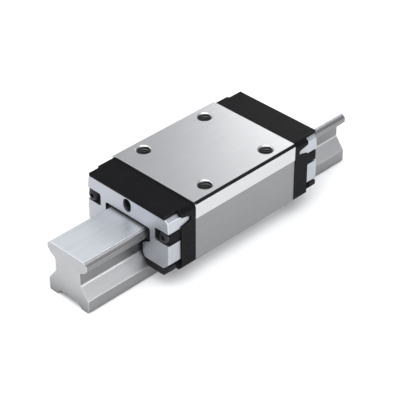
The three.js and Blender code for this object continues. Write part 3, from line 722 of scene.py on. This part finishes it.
def make_block():
    places = opening_places("bolt_hole")
    body = prism(block_outline(), -BLOCK_HALF_LENGTH, BLOCK_HALF_LENGTH, edge=0.2, both=True)
    mouth = BOLT_RADIUS + 0.5
    hole = [(0, -BOLT_DEPTH), (BOLT_RADIUS, 1 - BOLT_DEPTH), (BOLT_RADIUS, -0.5), (mouth, 0),
            (mouth, 1), (0, 1)]
    tools = [turned(hole, (x, y, BLOCK_TOP), (0, 0, 1), 64) for x, y in places]
    for side_name, side in SIDES:
        for row in ROWS:
            centre = centre_of(f"return_tube_{row}_{side_name}")
            start = (-BLOCK_HALF_LENGTH - 1, centre.y, centre.z)
            tools.append(rod(TUBE_HOLE_RADIUS, 2 * BLOCK_HALF_LENGTH + 2, start, (1, 0, 0), 32))
        for _, end in ENDS:
            tools.append(end_wedge(end, side))
            start = (end * (BLOCK_HALF_LENGTH + 1), side * SCREW_CENTRE.y, SCREW_CENTRE.z)
            tools.append(rod(SCREW_HOLE_RADIUS, 8, start, (-end, 0, 0), 24))

    # the side faces below the band take the darker steel colour: painted shade
    def is_side(centre, normal):
        return abs(normal.y) > 0.6 and abs(centre.y) > SEAL_SEAT_HALF + 1 and centre.z < BAND_LOW

    # the top chamfers are coloured near-black: a painted dark reflection
    def is_chamfer(centre, normal):
        return centre.z > BLOCK_TOP - TOP_CHAMFER and abs(centre.y) > BLOCK_HALF - TOP_CHAMFER

    # the bolt hole walls take the dark steel colour: painted shade
    def is_bore(centre, normal):
        near = any(math.hypot(centre.x - x, centre.y - y) < BOLT_RADIUS + 0.1 for x, y in places)
        return near and centre.z < BLOCK_TOP - 0.4

    put(cut(body, *tools), "block_body", "carriage", "ground_steel", ["runner_block"], bevel=0.1,
        others=[("drawn_steel_painted_shade", is_side), ("dark_steel_painted_shade_and_reflection", is_chamfer), ("bored_steel_painted_shade", is_bore)])


def make_thread(index, x, y):
    """The crests of a tapped hole's thread: one ridge winding down the wall and fading at its ends."""
    length, segments, crest = BOLT_DEPTH - 2.4, 48, 0.42
    steps = int(length / BOLT_PITCH * segments)
    rings = []
    for k in range(steps + 1):
        angle = 2 * math.pi * k / segments
        fade = min(1.0, k / 12, (steps - k) / 24) * crest
        z = BLOCK_TOP - 0.75 - BOLT_PITCH * k / segments
        ring = []
        for radius, height in ((BOLT_RADIUS + 0.05, 0.38), (BOLT_RADIUS - fade, 0.07),
                               (BOLT_RADIUS - fade, -0.07), (BOLT_RADIUS + 0.05, -0.38)):
            ring.append((x + radius * math.cos(angle), y + radius * math.sin(angle), z + height))
        rings.append(ring)
    # the thread takes the dark bore colour: painted shade inside the hole
    put(lofted(rings), f"thread_{index}", "carriage", "bored_steel_painted_shade", bevel=0, angle=50)


# ---------------------------------------------------------------- ends of the carriage

def notch_tool(end, side, near, margin):
    return slab(end * near, end * (TRAY_FACE + 1), side * (NOTCH_INNER - margin),
                side * (BLOCK_HALF + 3), NOTCH_LOW - margin, NOTCH_HIGH + margin, edge=0.9)


def wing_tool(end, side, margin):
    """The tapered space on the cap's shoulder that a wing of the scraper plate takes."""
    tip, low, high = WING_TIP - margin, WING_LOW - margin, WING_HIGH + margin
    outline = rounded([
        (end * (TRAY_BACK + 1), low, 0), (end * (TRAY_BACK + 1), high, 0), (end * TRAY_BACK, high, 0),
        (end * tip, high - WING_TAPER, 0.9), (end * tip, low + WING_TAPER, 0.9),
        (end * TRAY_BACK, low, 0)])
    return plate(outline, side * WING_ROOT, side * ASIDE)


def ring_groove(end, x, width, depth):
    """A tool for a groove of a width and depth right round the cap's outside."""
    outer = prism(grown(arch_outline(**CAP_ARCH), 1.0), end * x, end * (x + width))
    inner = arch_outline(**inset(CAP_ARCH, depth))
    return cut(outer, prism(inner, end * (x - 1), end * (x + width + 1)))


def turn_place(row, side_name, side):
    """The middle of a row's turn, its radius, and the direction from loaded line to return line."""
    back = centre_of(f"return_tube_{row}_{side_name}")
    loaded = Vector((0, side * BALL_Y, BALL_Z[row]))
    across = Vector((0, back.y, back.z)) - loaded
    return loaded + across / 2, across.length / 2, across.normalized()


def make_cap(end_name, end):
    """Black moulded cap: a shell with a nose for the scraper plate, a hood above it, a boss for each
    screw, a seam where its two mouldings meet, and the pockets in which the balls turn round."""
    near, far = BLOCK_HALF_LENGTH + 0.02, HOOD_FACE + 1
    nose = arch_outline(**{**inset(TRAY_ARCH, TRAY_SHEET + TRAY_GAP), "bottom": CAP_LOW.z, "foot": 2.0})
    kept = [prism(nose, end * (CAP_STEP - 1), end * CAP_FACE)]
    kept += [slab(end * (CAP_STEP - 1), end * BOSS_FACE, side * BOSS_Y[0], side * BOSS_Y[1], *BOSS_Z,
                  edge=0.8) for _, side in SIDES]
    tools = [cut(slab(end * CAP_STEP, end * far, -ASIDE, ASIDE, 0, HOOD_UNDERSIDE), *kept)]
    for side_name, side in SIDES:
        tools.append(slab(end * CAP_STEP, end * far, side * HOOD_HALF, side * ASIDE, HOOD_SIDES_FROM,
                          ABOVE))
        core = prism(nose, end * (near - 1), end * far)
        tools.append(cut(wing_tool(end, side, TRAY_GAP), core))
        start = (end * (BLOCK_HALF_LENGTH - 1), side * SCREW_CENTRE.y, SCREW_CENTRE.z)
        tools.append(rod(SCREW_HOLE_RADIUS, 16, start, (end, 0, 0), 24))
        for row in ROWS:
            middle, radius, across = turn_place(row, side_name, side)
            normal = Vector((1, 0, 0)).cross(across)
            width = 2 * (BALL_RADIUS + BALL_ROOM)
            at = Vector((end * BLOCK_HALF_LENGTH, middle.y, middle.z)) - normal * width / 2
            tools.append(rod(radius + BALL_RADIUS + BALL_ROOM, width, at, normal, 64))
    tools += [
        doorway(CAP_DOORWAY, end, near - 1, far),
        prism(arch_outline(**inset(CAP_ARCH, RECESS_WALL)), end * (near - 1), end * (near + RECESS_DEPTH)),
        rod(PORT_RADIUS + 0.15, 12, (end * (near + 0.3), 0, PORT_CENTRE.z), (end, 0, 0), 32),
    ]
    shell = prism(arch_outline(**CAP_ARCH), end * near, end * HOOD_FACE, edge=0.35)
    seam = ring_groove(end, SEAM_AT, SEAM_SIZE, SEAM_SIZE)
    put(cut(shell, seam, *tools), f"cap_{end_name}", "carriage", "black_plastic",
        [f"end_cap_{end_name}"], bevel=0.1)


def make_scraper(end_name, end):
    """Pressed plate: a sheet with its outer edges turned back over a soft bend, and a wing that
    reaches back along each shoulder of the cap."""
    behind, face = WING_TIP - 1, TRAY_FACE + 1
    back = cut(slab(end * behind, end * TRAY_BACK, -ASIDE, ASIDE, 0, ABOVE),
               *[wing_tool(end, side, 0) for _, side in SIDES])
    hollow = {**inset(TRAY_ARCH, TRAY_SHEET), "bottom": 0}
    rims = [notch_tool(end, side, CAP_FACE + TRAY_GAP, TRAY_SHEET) for _, side in SIDES]
    slot = [*arc(0, SLOT_HIGH, SLOT_RADIUS, 0, 180, 16), *arc(0, SLOT_LOW, SLOT_RADIUS, 180, 360, 16)]
    tools = [
        back,
        cut(prism(arch_outline(**hollow), end * behind, end * (TRAY_FACE - TRAY_SHEET)), *rims),
        prism(slot, end * (TRAY_FACE - TRAY_SHEET - 1), end * face),
        doorway(TRAY_DOORWAY, end, behind, face),
        *[notch_tool(end, side, WING_TIP, 0) for _, side in SIDES],
    ]
    shell = prism(arch_outline(**TRAY_ARCH), end * WING_TIP, end * TRAY_FACE, edge=0.5)
    # the plate's side faces take the darker copy of its colour: painted shade
    put(cut(shell, *tools), f"scraper_{end_name}", "carriage", "scraper_steel",
        [f"scraper_plate_{end_name}"], bevel=0.14,
        others=[("folded_steel_painted_shade", lambda centre, normal: abs(normal.y) > 0.8)])


def make_seal(end_name, end):
    """Rubber wiper inside the scraper plate: a thin raised lip follows the rail's section, and a
    ledge closes the space under the plate's legs."""
    margin = TRAY_SHEET + 0.25
    back, face = SEAL_LOW.x, TRAY_FACE - margin + 0.05
    outline = arch_outline(**{**inset(TRAY_ARCH, margin), "bottom": SEAL_LOW.z})
    body = prism(outline, end * back, end * face, edge=0.15)
    under = arch_outline(**{**inset(TRAY_ARCH, 0.1), "bottom": SEAL_LOW.z})
    ledge = cut(prism(under, end * back, end * SEAL_HIGH.x, edge=0.3),
                prism(arch_outline(**inset(TRAY_ARCH, -0.1)), end * (back - 1), end * (TRAY_FACE + 1)),
                slab(end * (back - 1), end * (TRAY_FACE + 1), -ASIDE, ASIDE, LEDGE_TOP, ABOVE))
    lips = prism(grown(rail_outline(), 0.95), end * (face - 1), end * (face + 1.1), edge=0.3)
    lips = cut(lips, slab(end * (face - 3), end * (face + 3), -ASIDE, ASIDE, -5, SEAL_LOW.z + 0.4))
    tools = [
        prism(grown(rail_outline(), 0.35), end * (back - 1), end * (face + 3)),
        slab(end * (back - 1), end * (face + 3), STRIP_LOW.y - 0.2, STRIP_HIGH.y + 0.2,
             RAIL_TOP - 1, STRIP_HIGH.z + 0.35, edge=0.1),
        rod(PORT_RADIUS + 0.5, 8, (end * (back - 1), 0, PORT_CENTRE.z), (end, 0, 0), 32),
        *[notch_tool(end, side, CAP_FACE, margin) for _, side in SIDES],
    ]
    put(cut(joined(body, lips, ledge), *tools), f"seal_{end_name}", "carriage", "seal_rubber",
        [f"end_seal_{end_name}"], bevel=0.06)


def socket_tool(across_flats, depth, at, axis):
    start = Vector(at) - Vector(axis) * depth
    return rod(across_flats / math.sqrt(3), depth + 1, start, axis, 6)


def make_screws():
    """Low round-head socket screws, and a headless plug in each lubrication port."""
    for end_name, end in ENDS:
        for side_name, side in SIDES:
            node = f"cap_screw_{end_name}_{side_name}"
            low, high = span(node)
            length = high.x - low.x
            shank = length - SCREW_CROWN
            dome = [(SCREW_HEAD_RADIUS * math.cos(a), SCREW_CROWN * (0.22 + 0.78 * math.sin(a)))
                    for a in np.radians(np.linspace(0, 62, 7))]
            profile = [(0, -shank), (1.1, -shank), (1.5, 0.4 - shank), (1.5, 0), (SCREW_HEAD_RADIUS, 0),
                       *dome, (0, dome[-1][1])]
            reach = max(abs(low.x), abs(high.x)) - SCREW_CROWN
            seat = (end * reach, side * SCREW_CENTRE.y, SCREW_CENTRE.z)
            top = Vector(seat) + Vector((end, 0, 0)) * dome[-1][1]
            socket = socket_tool(across_flats=2, depth=0.9, at=top, axis=(end, 0, 0))
            screw = cut(turned(profile, seat, (end, 0, 0)), socket)
            put(screw, f"screw_{end_name}_{side_name}", "carriage", "black_steel", [node], bevel=0.08)
        node = f"lube_plug_{end_name}"
        low, high = span(node)
        face = (high.x if end > 0 else low.x, 0, PORT_CENTRE.z)
        make_plug(node, face, (end, 0, 0), PORT_RADIUS, high.x - low.x)


def make_plug(node, face, axis, radius, length):
    profile = [(0, -length), (radius - 0.4, -length), (radius, 0.4 - length), (radius, -0.25),
               (radius - 0.25, 0), (0, 0)]
    body = cut(turned(profile, face, axis, 40), socket_tool(radius, radius * 0.9, face, axis))
    put(body, node.replace("plug", "grub_screw"), "carriage", "black_steel", [node], bevel=0.06)


# ---------------------------------------------------------------- balls

def loop_point(s, radius):
    """A point and outward direction at a share s of the closed loop, in the loop's own plane."""
    half = BLOCK_HALF_LENGTH
    straight, bend = 2 * half, math.pi * radius
    d = (s % 1.0) * 2 * (straight + bend)
    if d < straight:
        return (-half + d, -radius), (0, -1)
    d -= straight
    if d < bend:
        a = -math.pi / 2 + d / radius
        return (half + radius * math.cos(a), radius * math.sin(a)), (math.cos(a), math.sin(a))
    d -= bend
    if d < straight:
        return (half - d, radius), (0, 1)
    a = math.pi / 2 + (d - straight) / radius
    return (-half + radius * math.cos(a), radius * math.sin(a)), (math.cos(a), math.sin(a))


def make_chain(row, side_name, side):
    """One row's balls, and the flat link belt that spaces them round the loop."""
    middle, radius, across = turn_place(row, side_name, side)
    normal = Vector((1, 0, 0)).cross(across)
    length = 4 * BLOCK_HALF_LENGTH + 2 * math.pi * radius
    count = int(length // BALL_PITCH)

    def place(u, v, w=0.0):
        return Vector((u, 0, 0)) + Vector((0, middle.y, middle.z)) + across * v + normal * w

    bm = bmesh.new()
    for k in range(count):
        (u, v), _ = loop_point((k + 0.5) / count, radius)
        matrix = Matrix.Translation(place(u, v))
        bmesh.ops.create_uvsphere(bm, u_segments=24, v_segments=14, radius=BALL_RADIUS, matrix=matrix)
    node = f"ball_chain_{row}_{side_name}"
    put(piece_from(bm), f"balls_{row}_{side_name}", "carriage", "ball_steel", [node], bevel=0)

    rings = []
    for s in np.linspace(0, 1, 120, endpoint=False):
        (u, v), (du, dv) = loop_point(s, radius)
        rings.append([place(u + du * a, v + dv * a, w)
                      for a, w in ((-0.3, -0.9), (0.3, -0.9), (0.3, 0.9), (-0.3, 0.9))])
    put(lofted(rings, closed=True), f"ball_links_{row}_{side_name}", "carriage", "pale_plastic",
        bevel=0)


# ---------------------------------------------------------------- what keeps its CAD shape

def dress_cad_nodes():
    """The inner pieces keep their CAD shapes, with their edges broken and their materials on."""
    slots = {s["node"]: s["material_slot"] for s in frame["record"]["subparts"]}
    for name, obj in frame["nodes"].items():
        if obj.hide_render:
            continue
        obj.data.materials.clear()
        obj.data.materials.append(LOOKS[slots[name]])
        finish_surface(obj, 0.08)


# ---------------------------------------------------------------- stage

def area_light(name, location, target, size, power):
    data = bpy.data.lights.new(name, "AREA")
    data.shape = "RECTANGLE"
    data.size, data.size_y = size
    data.energy = power
    light = bpy.data.objects.new(name, data)
    light.location = location
    light.rotation_mode = "QUATERNION"
    aim = Vector(target) - Vector(location)
    light.rotation_quaternion = aim.to_track_quat("-Z", "Y")
    bpy.context.scene.collection.objects.link(light)


def make_stage():
    scene = bpy.context.scene
    bm = bmesh.new()
    bmesh.ops.create_grid(bm, x_segments=1, y_segments=1, size=3.0)
    floor = piece_from(bm, "floor")
    floor.location.z = cad_low.z - 0.02 * MM
    floor.data.materials.append(floor_paper("floor_paper"))

    world = bpy.data.worlds.new("studio")
    world.use_nodes = True
    sky = world.node_tree.nodes["Background"]
    nodes, links = world.node_tree.nodes, world.node_tree.links
    split = nodes.new("ShaderNodeSeparateXYZ")
    links.new(nodes.new("ShaderNodeTexCoord").outputs["Generated"], split.inputs[0])
    fade = nodes.new("ShaderNodeValToRGB")
    links.new(split.outputs["Z"], fade.inputs["Fac"])
    fade.color_ramp.elements[0].position = 0.10
    fade.color_ramp.elements[0].color = (0.95, 0.97, 1.0, 1)
    fade.color_ramp.elements[1].position = 0.52
    fade.color_ramp.elements[1].color = (0.56, 0.575, 0.60, 1)
    links.new(fade.outputs["Color"], sky.inputs["Color"])
    sky.inputs["Strength"].default_value = 1.0
    scene.world = world
    scene.view_settings.view_transform = "Standard"
    scene.view_settings.look = "None"

    middle = (0, 0, 0.02)
    area_light("key", (-0.38, -0.28, 0.90), middle, (1.3, 1.3), 11)
    area_light("fill", (-0.42, 0.42, 0.42), middle, (0.9, 0.9), 1.4)
    area_light("side", (-0.02, -0.62, 0.12), (0, 0, 0), (0.9, 0.2), 3.0)
    area_light("back", (0.30, 0.13, 0.16), middle, (0.22, 0.22), 0.28)


def make_camera():
    """The camera stands in front, to the right and above, and looks a little past the middle."""
    data = bpy.data.cameras.new("camera")
    data.sensor_width = 36.0
    data.lens = 146.38
    camera = bpy.data.objects.new("camera", data)
    target = Vector((9.21, 11.70, 0.39)) * MM
    azimuth, elevation, distance = math.radians(44.89), math.radians(35.41), 0.692
    back = Vector((-math.cos(azimuth) * math.cos(elevation), -math.sin(azimuth) * math.cos(elevation),
                   math.sin(elevation)))
    camera.location = target + back * distance
    camera.rotation_mode = "QUATERNION"
    camera.rotation_quaternion = (-back).to_track_quat("-Z", "Y")
    data.clip_start, data.clip_end = 0.01, 20
    bpy.context.scene.collection.objects.link(camera)
    bpy.context.scene.camera = camera


make_stage()
make_camera()
make_rail()
make_cover_strip()
make_block()
for index, (x, y) in enumerate(opening_places("bolt_hole"), 1):
    make_thread(index, x, y)
for end_name, end in ENDS:
    make_cap(end_name, end)
    make_scraper(end_name, end)
    make_seal(end_name, end)
make_screws()
for side_name, side in SIDES:
    for row in ROWS:
        make_chain(row, side_name, side)
dress_cad_nodes()
